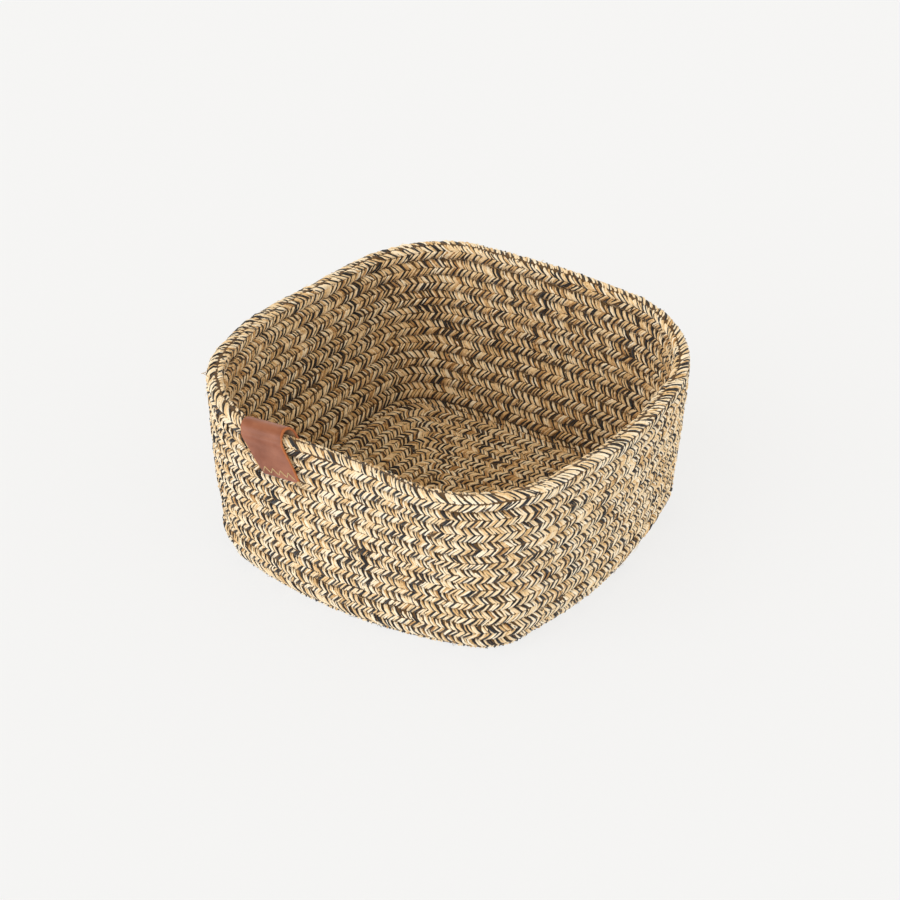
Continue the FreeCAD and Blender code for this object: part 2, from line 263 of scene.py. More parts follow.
def base_lines():
    """Centre lines of the base's turns, and then the lowest wall course's."""
    round_about = np.linspace(0, 2 * math.pi, 241)[:-1]
    coil = COIL_RADIUS * np.stack([np.cos(round_about), np.sin(round_about)], 1)
    lines = [even(coil, 0.6)]
    foot = outline_points(wall_outline(0, CORD_WIDE / 2 + FOOT_TUCK))
    around = np.unwrap(np.arctan2(foot[:, 1], foot[:, 0]))
    moved = wall_centre(0, len(foot))[:, :2]
    shrink = np.linalg.norm(moved, axis=1) / np.linalg.norm(foot, axis=1)
    for turn in range(1, TURNS):
        line = outline_points(base_outline(turn), 0.8)
        angle = np.mod(np.arctan2(line[:, 1], line[:, 0]), 2 * math.pi)
        lines.append(line * np.interp(angle, around, shrink, period=2 * math.pi)[:, None])
    lines.append(moved)
    return lines


def nearest(line, other):
    gaps = np.linalg.norm(line[:, None, :] - other[None, :, :], axis=2)
    return gaps.min(axis=1)


def base_turn(lines, turn):
    line = lines[turn]
    normal = flat_normals(line)
    angle = np.arctan2(line[:, 1], line[:, 0])
    outer = nearest(line, lines[turn + 1])
    inner = nearest(line, lines[turn - 1]) if turn else np.full(len(line), CORD_TALL)
    reach_in = inner / 2
    reach_out = outer - CORD_WIDE / 2 + BASE_LAP if turn == TURNS - 1 else outer / 2
    half = (reach_out + reach_in) / 2 * BASE_SNUG
    line = line + normal * ((reach_out - reach_in) / 2)[:, None]
    if turn > 1:
        line = line + normal * 0.6 * drift(angle, turn * 9.0, 3)[:, None]
    count = len(line)
    level = CORD_TALL / 2 + 0.35 * drift(angle, turn * 9.0, 4)
    level = np.maximum(level, CORD_TALL / 2 + BASE_LIFT)
    centre = np.column_stack([line, level])
    face = np.tile([0.0, 0.0, -1.0], (count, 1))
    grow = np.column_stack([normal, np.zeros(count)])
    return Turn(centre, face, grow, np.full(count, CORD_TALL / 2), half)


# --- meshes ------------------------------------------------------------------------------

RING = 6               # points round a yarn
THIN_RING = 4          # points round a thread or a fibre
FLATNESS = 0.85        # a strand's thickness to its width
CORE_RING = 16
CORE_STEP = 4.2
CREAM, BLACK, CORE = 0, 1, 2
TABLE_GAP = 0.00003    # nothing dips under the table the basket stands on


class Batch:
    """Quads with a material each, a shade each and a place each in the bake map."""

    def __init__(self):
        self.points, self.quads, self.slots, self.shades, self.maps, self.plies = [], [], [], [], [], []
        self.count = 0

    def add(self, points, quads, slots, shades, maps, plies):
        self.points.append(points)
        self.quads.append(quads + self.count)
        self.slots.append(slots)
        self.shades.append(shades)
        self.maps.append(maps)
        self.plies.append(plies)
        self.count += len(points)

    def build(self, name, materials):
        points = np.concatenate(self.points) * MM
        points[:, 2] = np.maximum(points[:, 2], TABLE_GAP)
        quads = np.concatenate(self.quads)
        mesh = bpy.data.meshes.new(name)
        mesh.vertices.add(len(points))
        mesh.vertices.foreach_set("co", points.astype(np.float32).ravel())
        mesh.loops.add(quads.size)
        mesh.loops.foreach_set("vertex_index", quads.astype(np.int32).ravel())
        mesh.polygons.add(len(quads))
        mesh.polygons.foreach_set("loop_start", np.arange(0, quads.size, 4, dtype=np.int32))
        mesh.polygons.foreach_set("material_index", np.concatenate(self.slots).astype(np.int32))
        mesh.polygons.foreach_set("use_smooth", np.ones(len(quads), dtype=bool))
        for material in materials:
            mesh.materials.append(material)
        mesh.update(calc_edges=True)
        layer = mesh.uv_layers.new(name="OFBake")
        layer.data.foreach_set("uv", np.concatenate(self.maps).astype(np.float32).ravel())
        layer = mesh.uv_layers.new(name="ply")
        layer.data.foreach_set("uv", np.concatenate(self.plies).astype(np.float32).ravel())
        shade = mesh.attributes.new("shade", "FLOAT", "POINT")
        shade.data.foreach_set("value", np.concatenate(self.shades).astype(np.float32))
        piece = bpy.data.objects.new(name, mesh)
        bpy.context.scene.collection.objects.link(piece)
        return piece


def strand_quads(count, rings, ring):
    """Quads of many closed strands, each of some rings of points, with its two ends shut."""
    k, j = np.meshgrid(np.arange(rings - 1), np.arange(ring), indexing="ij")
    k, j = k.ravel(), j.ravel()
    after = (j + 1) % ring
    tube = np.stack([k * ring + j, (k + 1) * ring + j, (k + 1) * ring + after, k * ring + after], 1)
    last = (rings - 1) * ring
    if ring == RING:
        caps = [[0, 1, 2, 3], [0, 3, 4, 5], [last + 3, last + 2, last + 1, last],
                [last + 5, last + 4, last + 3, last]]
    else:
        caps = [[0, 1, 2, 3], [last + 3, last + 2, last + 1, last]]
    one = np.vstack([tube, np.array(caps)])
    return (one[None] + (np.arange(count) * rings * ring)[:, None, None]).reshape(-1, 4), len(one)


def strand_maps(count, rings, ring, lengths, cell_of, grid):
    """Each strand has a cell of the bake map; the ply map is in millimetres along it."""
    k, j = np.meshgrid(np.arange(rings - 1), np.arange(ring), indexing="ij")
    k, j = k.ravel(), j.ravel()
    u = np.stack([k, k + 1, k + 1, k], 1) / (rings - 1)
    v = np.stack([j, j, j + 1, j + 1], 1) / ring
    caps = 4 if ring == RING else 2
    cap_u = np.tile([0.0, 0.02, 0.02, 0.0], (caps, 1))
    cap_v = np.tile([0.0, 0.0, 0.02, 0.02], (caps, 1)) + np.arange(caps)[:, None] * 0.04
    cell_u = np.vstack([0.1 + 0.84 * u, cap_u + 0.02])
    cell_v = np.vstack([0.08 + 0.84 * v, cap_v + 0.1])
    column = (cell_of % grid)[:, None, None]
    row = (cell_of // grid)[:, None, None]
    maps = np.stack([(cell_u[None] + column) / grid, (cell_v[None] + row) / grid], -1)
    flat_u = np.vstack([u, cap_u])
    flat_v = np.vstack([v, cap_v])
    plies = np.stack([flat_u[None] * lengths[:, None, None] + column * 3.7,
                      np.broadcast_to(flat_v[None], (count,) + flat_v.shape)], -1)
    return maps.reshape(-1, 2), plies.reshape(-1, 2)


def strands(batch, line, outward, half, slot, shade, cells, grid, ring=RING):
    """Many strands at once. line and outward are (strands, rings, 3), half is (strands, rings)."""
    count, rings = line.shape[:2]
    ahead = np.gradient(line, axis=1)
    ahead /= np.linalg.norm(ahead, axis=2, keepdims=True) + 1e-9
    across = np.cross(ahead, outward)
    across /= np.linalg.norm(across, axis=2, keepdims=True) + 1e-9
    upward = np.cross(across, ahead)
    turn = np.arange(ring) * 2 * math.pi / ring
    offset = (np.cos(turn)[None, None, :, None] * across[:, :, None]
              + FLATNESS * np.sin(turn)[None, None, :, None] * upward[:, :, None])
    points = line[:, :, None] + half[:, :, None, None] * offset
    quads, per = strand_quads(count, rings, ring)
    lengths = np.linalg.norm(np.diff(line, axis=1), axis=2).sum(axis=1)
    maps, plies = strand_maps(count, rings, ring, lengths, cells, grid)
    batch.add(points.reshape(-1, 3), quads, np.repeat(slot, per),
              np.repeat(shade, rings * ring), maps, plies)


def core_tube(batch, turn, open_side, top):
    """The filling of the cord, seen between its yarns; its dark brown is painted shade for the gaps
    between the yarns.

    It swells towards the turns it is sewn to, so no light comes through a seam. The open
    side is +1 for a turn with nothing above it, -1 for one with nothing below, else 0.
    """
    ring = CORE_RING
    count = max(16, int(turn.length / CORE_STEP))
    along, angle = np.meshgrid(np.arange(count) * turn.length / count,
                               np.arange(ring) * 2 * math.pi / ring, indexing="ij")
    up = np.sin(angle)
    sewn = np.abs(up) ** 6 * (up * open_side <= 0)
    points = turn.point(along, angle, CORE_DEPTH - (CORE_DEPTH + CORE_MEET) * sewn)
    i, j = np.meshgrid(np.arange(count), np.arange(ring), indexing="ij")
    i, j = i.ravel(), j.ravel()
    ahead, after = (i + 1) % count, (j + 1) % ring
    quads = np.stack([i * ring + j, ahead * ring + j, ahead * ring + after, i * ring + after], 1)
    u = np.stack([i, i + 1, i + 1, i], 1) / count
    v = np.stack([j, j, j + 1, j + 1], 1) / ring
    maps = np.stack([0.005 + 0.99 * u, top + (0.995 - top) * v], -1).reshape(-1, 2)
    plies = np.stack([u * turn.length, v * 30], -1).reshape(-1, 2)
    size = count * ring
    batch.add(points.reshape(-1, 3), quads, np.full(len(quads), CORE), np.full(size, 0.5), maps, plies)


# --- braid -------------------------------------------------------------------------------

# Which of a float's three yarns are black, and how often
FLOATS = (((0, 0, 1), 0.74), ((0, 1, 1), 0.05), ((0, 0, 0), 0.06),
          ((1, 0, 1), 0.03), ((0, 1, 0), 0.12))
YARNS = 3              # in a float
CHANGED = 0.22         # share of a column's floats that differ from its neighbour's
MAP_FILL = 0.94        # share of the bake map the yarns may take, the rest is the filling's


def float_patterns(count):
    kinds = np.array([kind for kind, share in FLOATS])
    shares = np.array([share for kind, share in FLOATS])
    return kinds[RNG.choice(len(kinds), size=count, p=shares / shares.sum())]


def wander(single, shared, floats):
    """Random offset of each yarn, part its own and part shared by its float."""
    own = RNG.normal(0, single, floats * YARNS)
    return own + np.repeat(RNG.normal(0, shared, floats), YARNS)


def face_columns(middle, lean, painted_light):
    """The two columns of a face of the cord: they meet in a point at the face's middle."""
    return [(middle, middle + FACE_HALF, lean, painted_light), (middle, middle - FACE_HALF, lean, painted_light)]


def braid(turn, columns, batch):
    """Yarns of one turn.

    A column is where its floats meet, where they end, how they lean along the cord (against
    the usual slant), and how much painted light or painted shade its yarns carry.
    """
    floats = max(6, int(round(turn.length / PITCH)))
    pitch = turn.length / floats
    count = floats * YARNS
    index = np.arange(count)
    grid = int(math.ceil(math.sqrt(count * len(columns) / MAP_FILL)))
    patterns = float_patterns(floats)
    t = np.array([-0.12, 0.14, 0.42, 0.70, 1.08])
    cell = 0
    for start, finish, lean, painted_light in columns:
        own = patterns.copy()
        change = RNG.random(floats) < CHANGED
        own[change] = float_patterns(int(change.sum()))
        black = own.ravel()
        along = index * pitch / YARNS + wander(0.13, 0.15, floats)
        slant = lean * SLANT * (1 + wander(0.12, 0.09, floats))
        wobble = wander(0.03, 0.04, floats)
        reach = 1 + RNG.normal(0, 0.04, count)
        angle = start + (finish - start) * t[None] * reach[:, None] + wobble[:, None]
        place = along[:, None] + slant[:, None] * (np.sin(1.2 * t) / math.sin(1.2))[None]
        place = place + RNG.normal(0, 0.09, place.shape)
        half = np.where(black, YARN * 0.76, YARN * 1.15) * (1 + RNG.normal(0, 0.10, count))
        proud = RNG.normal(0, 0.12, count) - np.where(black, 0.02, 0.0)
        proud += np.repeat(RNG.normal(0, 0.15, floats), YARNS)
        bend = np.abs(2 * t - 1)[None] ** 4 * 0.62
        depth = half[:, None] * 0.9 + bend - proud[:, None] + RNG.normal(0, 0.15, place.shape)
        line = turn.point(place, angle, depth)
        outward = turn.point(place, angle, depth - 0.5) - turn.point(place, angle, depth + 0.5)
        width = half[:, None] * (1 - 0.30 * np.abs(2 * t - 1)[None] ** 5 / 2.6)
        # A yarn's shade is its own random tone plus its column's painted light or painted shade
        shade = np.clip(0.55 + painted_light + 0.25 * RNG.normal(size=count), 0, 1)
        cells = cell + index
        strands(batch, line, outward, width, np.where(black, BLACK, CREAM), shade, cells, grid)
        cell += count
    return grid, cell


def cord_piece(name, node, turn, columns, materials, open_side=0):
    """Yarns and filling of one turn, as one piece."""
    batch = Batch()
    grid, used = braid(turn, columns, batch)
    top = math.ceil(used / grid) / grid
    core_tube(batch, turn, open_side, min(top, 0.985))
    piece = batch.build(name, materials)
    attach(piece, "root")
    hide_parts(node)


# --- materials ---------------------------------------------------------------------------

def new_material(name, roughness, specular=0.3):
    material = bpy.data.materials.new(name)
    material.use_nodes = True
    shader = material.node_tree.nodes["Principled BSDF"]
    shader.inputs["Roughness"].default_value = roughness
    shader.inputs["Specular IOR Level"].default_value = specular
    return material, material.node_tree, shader


def ramp_of(tree, stops):
    ramp = tree.nodes.new("ShaderNodeValToRGB")
    elements = ramp.color_ramp.elements
    while len(elements) < len(stops):
        elements.new(0.5)
    for element, (place, colour) in zip(elements, stops):
        element.position = place
        element.color = (*colour, 1)
    return ramp


def yarn_material(name, stops, roughness, twist, scale=1.0):
    """Spun yarn: each strand has its own shade, fibres mottle it, and its plies show."""
    material, tree, shader = new_material(name, roughness, 0.25)
    shader.inputs["Sheen Weight"].default_value = 0.15
    link = tree.links.new
    shade = tree.nodes.new("ShaderNodeAttribute")
    shade.attribute_name = "shade"
    place = tree.nodes.new("ShaderNodeTexCoord")
    noise = tree.nodes.new("ShaderNodeTexNoise")
    noise.inputs["Scale"].default_value = 700 * scale
    noise.inputs["Detail"].default_value = 4
    noise.inputs["Roughness"].default_value = 0.7
    link(place.outputs["Object"], noise.inputs["Vector"])
    blend = tree.nodes.new("ShaderNodeMath")
    blend.operation = "MULTIPLY_ADD"
    blend.inputs[1].default_value = 0.8
    link(noise.outputs["Fac"], blend.inputs[0])
    half = tree.nodes.new("ShaderNodeMath")
    half.operation = "MULTIPLY_ADD"
    half.inputs[1].default_value = 0.75
    half.inputs[2].default_value = -0.27
    link(shade.outputs["Fac"], half.inputs[0])
    link(half.outputs[0], blend.inputs[2])
    ramp = ramp_of(tree, stops)
    link(blend.outputs[0], ramp.inputs["Fac"])
    link(ramp.outputs["Color"], shader.inputs["Base Color"])
    ply = tree.nodes.new("ShaderNodeUVMap")
    ply.uv_map = "ply"
    wave = tree.nodes.new("ShaderNodeTexWave")
    wave.wave_type = "BANDS"
    wave.bands_direction = "DIAGONAL"
    wave.inputs["Scale"].default_value = 0.32
    wave.inputs["Distortion"].default_value = 1.5
    link(ply.outputs["UV"], wave.inputs["Vector"])
    bump = tree.nodes.new("ShaderNodeBump")
    bump.inputs["Strength"].default_value = twist
    bump.inputs["Distance"].default_value = 0.0003
    link(wave.outputs["Fac"], bump.inputs["Height"])
    link(bump.outputs["Normal"], shader.inputs["Normal"])
    return material


def make_materials():
    cream = yarn_material("natural_yarn", (
        (0.10, (0.44, 0.23, 0.08)), (0.34, (0.78, 0.53, 0.26)),
        (0.58, (0.94, 0.74, 0.47)), (0.85, (1.0, 0.89, 0.70))), 0.78, 0.35)
    black = yarn_material("black_yarn", (
        (0.10, (0.010, 0.011, 0.014)), (0.60, (0.022, 0.024, 0.030)),
        (0.95, (0.060, 0.062, 0.070))), 0.70, 0.35)
    # The filling's dark browns are painted shade in the gaps between the yarns
    core = yarn_material("cord_filling_painted_shade", (
        (0.20, (0.05, 0.028, 0.012)), (0.60, (0.14, 0.08, 0.035)),
        (0.95, (0.28, 0.17, 0.08))), 0.85, 0.2, 0.6)
    thread = yarn_material("sewing_thread", (
        (0.10, (0.24, 0.14, 0.06)), (0.50, (0.45, 0.29, 0.14)), (0.95, (0.66, 0.48, 0.27))), 0.72, 0.3)
    return cream, black, core, thread


# --- camera, light, floor ----------------------------------------------------------------

LENS = 159.07
SHIFT = (0.0004, -0.0062)
AZIMUTH, ELEVATION = math.radians(33.609), math.radians(33.925)
DISTANCE = 2.32595
AIM_HEIGHT = 0.0559
FLOOR_REACH = 6.0

def camera():
    data = bpy.data.cameras.new("camera")
    data.sensor_width = 36
    data.lens = LENS
    data.shift_x, data.shift_y = SHIFT
    data.clip_start = 0.05
    data.clip_end = 20
    eye = bpy.data.objects.new("camera", data)
    level = math.cos(ELEVATION)
    back = (math.sin(AZIMUTH) * level, -math.cos(AZIMUTH) * level, math.sin(ELEVATION))
    eye.location = [DISTANCE * part for part in back]
    eye.location.z += AIM_HEIGHT
    eye.rotation_euler = (math.pi / 2 - ELEVATION, 0, AZIMUTH)
    bpy.context.scene.collection.objects.link(eye)
    bpy.context.scene.camera = eye


def sun(name, energy, tilt, heading, spread):
    """A sun lamp, with its angles in degrees."""
    data = bpy.data.lights.new(name, "SUN")
    data.energy = energy
    data.angle = math.radians(spread)
    light = bpy.data.objects.new(name, data)
    light.rotation_euler = (math.radians(tilt), 0, math.radians(heading))
    bpy.context.scene.collection.objects.link(light)


def studio():
    scene = bpy.context.scene
    scene.view_settings.view_transform = "Standard"
    world = bpy.data.worlds.new("studio")
    world.use_nodes = True
    tree = world.node_tree
    sky = tree.nodes["Background"]
    sky.inputs["Strength"].default_value = 1.55
    place = tree.nodes.new("ShaderNodeTexCoord")
    parts = tree.nodes.new("ShaderNodeSeparateXYZ")
    ramp = ramp_of(tree, ((0.0, (0.96, 0.98, 1.0)), (0.60, (0.42, 0.355, 0.255))))
    tree.links.new(place.outputs["Generated"], parts.inputs[0])
    tree.links.new(parts.outputs["Z"], ramp.inputs["Fac"])
    tree.links.new(ramp.outputs["Color"], sky.inputs["Color"])
    scene.world = world
    sun("key", 1.0, 52, -15, 60)
    sun("fill", 0.40, 62, 75, 80)
    mesh = bpy.data.meshes.new("floor")
    corners = ((-1, -1, 0), (1, -1, 0), (1, 1, 0), (-1, 1, 0))
    mesh.from_pydata([[FLOOR_REACH * part for part in corner] for corner in corners],
                     [], [(0, 1, 2, 3)])
    floor = bpy.data.objects.new("floor", mesh)
    material, tree, shader = new_material("pale_floor", 0.9, 0.1)
    shader.inputs["Base Color"].default_value = (0.16, 0.17, 0.185, 1)
    shader.inputs["Emission Color"].default_value = (1, 1, 1, 1)
    shader.inputs["Emission Strength"].default_value = 0.752
    mesh.materials.append(material)
    scene.collection.objects.link(floor)


# --- sewing, stray fibres ----------------------------------------------------------------

STITCH_PITCH = 3.1
SEAM_REACH = math.radians(66)    # the angle round the cord at which a seam's thread goes in


def seam_stitches(batch, low, high, low_angle, high_angle, grid, first):
    """Zigzag thread across the groove between two turns."""
    count = int(low.length / STITCH_PITCH)
    share = (np.arange(count) + RNG.normal(0, 0.12, count)) / count
    slide = np.where(np.arange(count) % 2, 0.5, -0.5) * STITCH_PITCH * (1 + RNG.normal(0, 0.15, count))
    here, there = share * low.length, share * high.length
    low_angle = low_angle + RNG.normal(0, 0.06, count)
    high_angle = high_angle + RNG.normal(0, 0.06, count)
    ends = []
    for depth, spread in ((0.9, 1.15), (-0.12, 0.9)):
        ends.append((low.point(here - slide * spread, low_angle, np.full(count, depth)),
                     high.point(there + slide * spread, high_angle, np.full(count, depth))))
    start, finish = ends[1]
    line = np.stack([ends[0][0], start, start * 0.5 + finish * 0.5, finish, ends[0][1]], 1)
    centre = low.at(here)[:, :3] * 0.5 + high.at(there)[:, :3] * 0.5
    outward = unit(line[:, 2] - centre)
    line[:, 2] -= outward * 0.35
    outward = np.repeat(outward[:, None], 5, axis=1)
    half = np.tile([0.15, 0.27, 0.25, 0.27, 0.15], (count, 1))
    half = half * (1 + RNG.normal(0, 0.1, count))[:, None]
    shade = np.clip(0.5 + 0.3 * RNG.normal(size=count), 0, 1)
    strands(batch, line, outward, half, np.zeros(count, int), shade,
            first + np.arange(count), grid, THIN_RING)
    return first + count


def stitching(name, pairs, node, material):
    """All the seams of one side, as one piece."""
    total = sum(int(pair[0].length / STITCH_PITCH) for pair in pairs)
    grid = int(math.ceil(math.sqrt(total)))
    batch, first = Batch(), 0
    for low, high, low_angle, high_angle in pairs:
        first = seam_stitches(batch, low, high, low_angle, high_angle, grid, first)
    piece = batch.build(name, [material])
    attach(piece, "root")
    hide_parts(node)


def lay_fibres(batch, turn, along, angle, run, lift, dark_share, first, grid):
    """Fibres from places on a turn: each runs some way along it and lifts off its face."""
    count = len(along)
    climb = RNG.normal(0, 0.35, count)
    t = np.linspace(0, 1, 5)[None]
    place = along[:, None] + run[:, None] * t
    angles = angle[:, None] + climb[:, None] * t ** 1.5
    depth = 0.3 - (lift[:, None] + 0.3) * np.sin(2.2 * t)
    line = turn.point(place, angles, depth)
    outward = turn.point(place, angles, depth - 0.5) - turn.point(place, angles, depth + 0.5)
    half = np.tile([0.13, 0.13, 0.12, 0.10, 0.05], (count, 1))
    slot = (RNG.random(count) < dark_share).astype(int)
    strands(batch, line, outward, half, slot, RNG.random(count),
            first + np.arange(count), grid, THIN_RING)
    return first + count


FIBRE_FACES = (0.0, -0.7, 0.7, math.pi, math.pi - 0.8)
FIBRES = 170           # on the longest turn
LONGEST = 810
LOOP_POINTS = 24


def stray_fibres(turns, tufts, loop, materials):
    """Short ends that stand off the yarns all over, and denser brown tufts in a few places."""
    batch = Batch()
    grid = int(math.ceil(math.sqrt(FIBRES * len(turns) + sum(tuft[-1] for tuft in tufts) + 1)))
    first = 0
    for turn in turns:
        count = max(4, int(FIBRES * turn.length / LONGEST))
        along = RNG.random(count) * turn.length
        angle = RNG.choice(FIBRE_FACES, count) + RNG.normal(0, 0.45, count)
        lift = np.abs(RNG.normal(0, 0.55, count)) + 0.15
        run = RNG.normal(0, 2.2, count)
        first = lay_fibres(batch, turn, along, angle, run, lift, 0.25, first, grid)
    for turn, middle, spread, facing, count in tufts:
        along = middle + RNG.uniform(-spread, spread, count)
        angle = facing + RNG.normal(0, 0.22, count)
        lift = np.abs(RNG.normal(0, 0.5, count)) + 0.2
        run = RNG.normal(0, 3.5, count)
        first = lay_fibres(batch, turn, along, angle, run, lift, 0.8, first, grid)
    line = smooth_line(loop, LOOP_POINTS)[None]
    outward = np.tile([0.0, 0.0, 1.0], (1, LOOP_POINTS, 1))
    strands(batch, line, outward, np.full((1, LOOP_POINTS), 0.22), np.array([1]),
            np.array([0.8]), np.array([first]), grid, THIN_RING)
    piece = batch.build("stray_fibres", materials)
    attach(piece, "root")


# --- leather tab -------------------------------------------------------------------------

TAB_HALF = 13.0
TAB_BEND = 7.3                   # radius of its fold, to its middle layer
TAB_OUTER, TAB_INNER = 24.0, 21.0
TAB_LONG = TAB_OUTER + math.pi * TAB_BEND + TAB_INNER
TAB_THICK, TAB_ROUND = 0.85, 0.5    # half its thickness, and how round its edges are
TAB_SPOT = np.array([-47.5, -111.8, 106.7])
TAB_TURN, TAB_TILT = math.radians(7), math.radians(7)
TAB_LEAN = math.radians(25)
HIDE, CUT_EDGE, FLESH = 0, 1, 2

# Thread that lies loose beside the tab: how far along the turn below the rim, at which
# angle round the cord and how deep under its face
LOOSE_THREAD = ((528.0, 0.62, -0.2), (532.0, 0.50, -0.8), (540.0, 0.35, -0.9),
                (546.0, -0.10, -0.6), (551.0, -0.45, 0.4))

# Sewing of the tab: where its zigzags turn, across the tab and up from each end
OUTER_ROW = [(-10.0 + 2.5 * n, 6.5 if n % 2 else 2.5) for n in range(9)]
INNER_ROW = [(-9.5, 1.5), (-5.5, 6.5), (-1.0, 1.5), (4.0, 6.0), (8.5, 1.5)]
OVER, UNDER = 1.05, -0.6         # off the tab's middle layer, on its face and where it goes in


def tab_axes():
    cos, sin = math.cos(TAB_TURN), math.sin(TAB_TURN)
    about_z = np.array([[cos, -sin, 0], [sin, cos, 0], [0, 0, 1]])
    cos, sin = math.cos(TAB_TILT), math.sin(TAB_TILT)
    about_x = np.array([[1, 0, 0], [0, cos, -sin], [0, sin, cos]])
    return about_z @ about_x


def tab_point(across, along, off):
    """A point of the tab: across it, along it from its outer end, and off its middle layer."""
    bend_long = math.pi * TAB_BEND
    turned = np.clip((along - TAB_OUTER) / TAB_BEND, 0, math.pi)
    outside = along < TAB_OUTER
    rise = np.where(outside, along - TAB_OUTER, np.minimum(0, TAB_OUTER + bend_long - along))
    hug = -0.5 * np.clip(-rise / TAB_OUTER, 0, 1) ** 1.5 * np.where(outside, 1, -1)
    p = -(TAB_BEND + off) * np.cos(turned) + hug
    q = (TAB_BEND + off) * np.sin(turned) + rise
    local = np.stack([across - q * math.sin(TAB_LEAN), p, q * math.cos(TAB_LEAN)], -1)
    return local @ tab_axes().T + TAB_SPOT


def tab_section():
    """Outline of the tab's section, and which of its materials each point belongs to."""
    section, kinds = [], []
    for number, (side_x, side_y) in enumerate(((1, 1), (-1, 1), (-1, -1), (1, -1))):
        for a in np.linspace(0, math.pi / 2, 4) + number * math.pi / 2:
            section.append((side_x, side_y, math.cos(a) * TAB_ROUND, math.sin(a) * TAB_ROUND))
            kinds.append(CUT_EDGE)
        if side_x * side_y > 0:
            for f in np.linspace(-1, 1, 13)[1:-1]:
                section.append((-f * side_y, side_y, 0, TAB_ROUND * side_y))
                kinds.append(HIDE if side_y > 0 else FLESH)
    return section, kinds


def leather_tab(materials):
    section, kinds = tab_section()
    middle = np.linspace(0.5, TAB_LONG - 0.5, 64)
    along = np.concatenate([[0, 0.15], middle, [TAB_LONG - 0.15, TAB_LONG]])
    inset = np.concatenate([[0.45, 0.12], np.zeros(len(middle)), [0.12, 0.45]])
    points = []
    for place, shrink in zip(along, inset):
        near = max(0.0, 1 - place / TAB_OUTER)
        half = TAB_HALF * (1 - 0.11 * near ** 1.3)
        crease = 0.8 * math.exp(-((place - TAB_OUTER - 5.0) / 0.9) ** 2)
        row = []
        for side_x, side_y, dx, dy in section:
            x = side_x * (half - TAB_ROUND - shrink) + dx
            y = side_y * (TAB_THICK - TAB_ROUND - shrink * 0.6) + dy
            y -= crease if side_y > 0 else 0
            y += 0.12 * math.sin(place * 0.31 + side_x * 1.3)
            row.append(tab_point(np.array(x), np.array(place), np.array(y)))
        points.append(row)
    points = np.array(points)
    rings, ring = points.shape[:2]
    mesh = bpy.data.meshes.new("tab_leather")
    faces, slots = [], []
    for k in range(rings - 1):
        for j in range(ring):
            after = (j + 1) % ring
            here, there = k * ring, (k + 1) * ring
            faces.append((here + j, here + after, there + after, there + j))
            sides = {kinds[j], kinds[after]} - {CUT_EDGE}
            slots.append(max(sides) if sides else CUT_EDGE)
    faces.append(tuple(reversed(range(ring))))
    faces.append(tuple((rings - 1) * ring + j for j in range(ring)))
    slots += [CUT_EDGE, CUT_EDGE]
    mesh.from_pydata((points.reshape(-1, 3) * MM).tolist(), [], faces)
    for material in materials:
        mesh.materials.append(material)
    mesh.polygons.foreach_set("material_index", slots)
    mesh.polygons.foreach_set("use_smooth", [True] * (len(faces) - 2) + [False] * 2)
    mesh.update()
    piece = bpy.data.objects.new("tab_leather", mesh)
    bpy.context.scene.collection.objects.link(piece)
    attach(piece, "root")
    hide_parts("leather_tab")


def smooth_line(stops, count):
    """Points on a soft curve through a few stops."""
    stops = np.array(stops, float)
    padded = np.vstack([2 * stops[0] - stops[1], stops, 2 * stops[-1] - stops[-2]])
    line = []
    for where in np.linspace(0, len(stops) - 1, count):
        i = min(int(where), len(stops) - 2)
        t = where - i
        a, b, c, d = padded[i:i + 4]
        line.append(0.5 * (2 * b + (c - a) * t + (2 * a - 5 * b + 4 * c - d) * t ** 2
                           + (3 * b - a - 3 * c + d) * t ** 3))
    return np.array(line)


def tab_threads(material, wall):
    """Zigzag that holds the tab's two ends, its knot, and loose thread beside it."""
    batch = Batch()
    grid = 6
    first = 0

    def lay(stops, half, count):
        nonlocal first
        line = smooth_line(stops, count)[None]
        outward = np.tile(tab_axes() @ np.array([0.0, -1.0, 0.3]), (1, count, 1))
        strands(batch, line, outward, np.full((1, count), half), np.array([0]), np.array([0.75]),
                np.array([first]), grid)
        first += 1

    def on_tab(x, y, off):
        return tab_point(np.array(x), np.array(y), np.array(off))

    path = ((0.0, UNDER), (0.03, OVER * 0.8), (0.25, OVER), (0.75, OVER), (0.97, OVER * 0.8), (1.0, UNDER))
    for row in (OUTER_ROW, [(x, TAB_LONG - y) for x, y in INNER_ROW]):
        for (x0, y0), (x1, y1) in zip(row[:-1], row[1:]):
            lay([on_tab(x0 + (x1 - x0) * share, y0 + (y1 - y0) * share, off)
                 for share, off in path], 0.33, 14)
    spot = on_tab(11.6, 0.3, 0.9)
    knot = []
    for a in np.linspace(0, 4.6 * math.pi, 30):
        up = 0.35 * a / math.pi - 1.0 + math.sin(a)
        knot.append(spot + np.array([1.25 * math.cos(a), -0.4 - 0.5 * math.sin(a), up]))
    lay(knot, 0.42, 60)
    tail = ((11.6, 0.0, 0.9), (13.5, -2.2, 1.7), (16.2, -3.2, 0.9), (18.0, -5.8, 0.7))
    lay([on_tab(*place) for place in tail], 0.26, 14)
    lay([wall.point(*np.array(place)) for place in LOOSE_THREAD], 0.28, 20)
    piece = batch.build("tab_thread", [material])
    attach(piece, "root")
    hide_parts("tab_stitches")


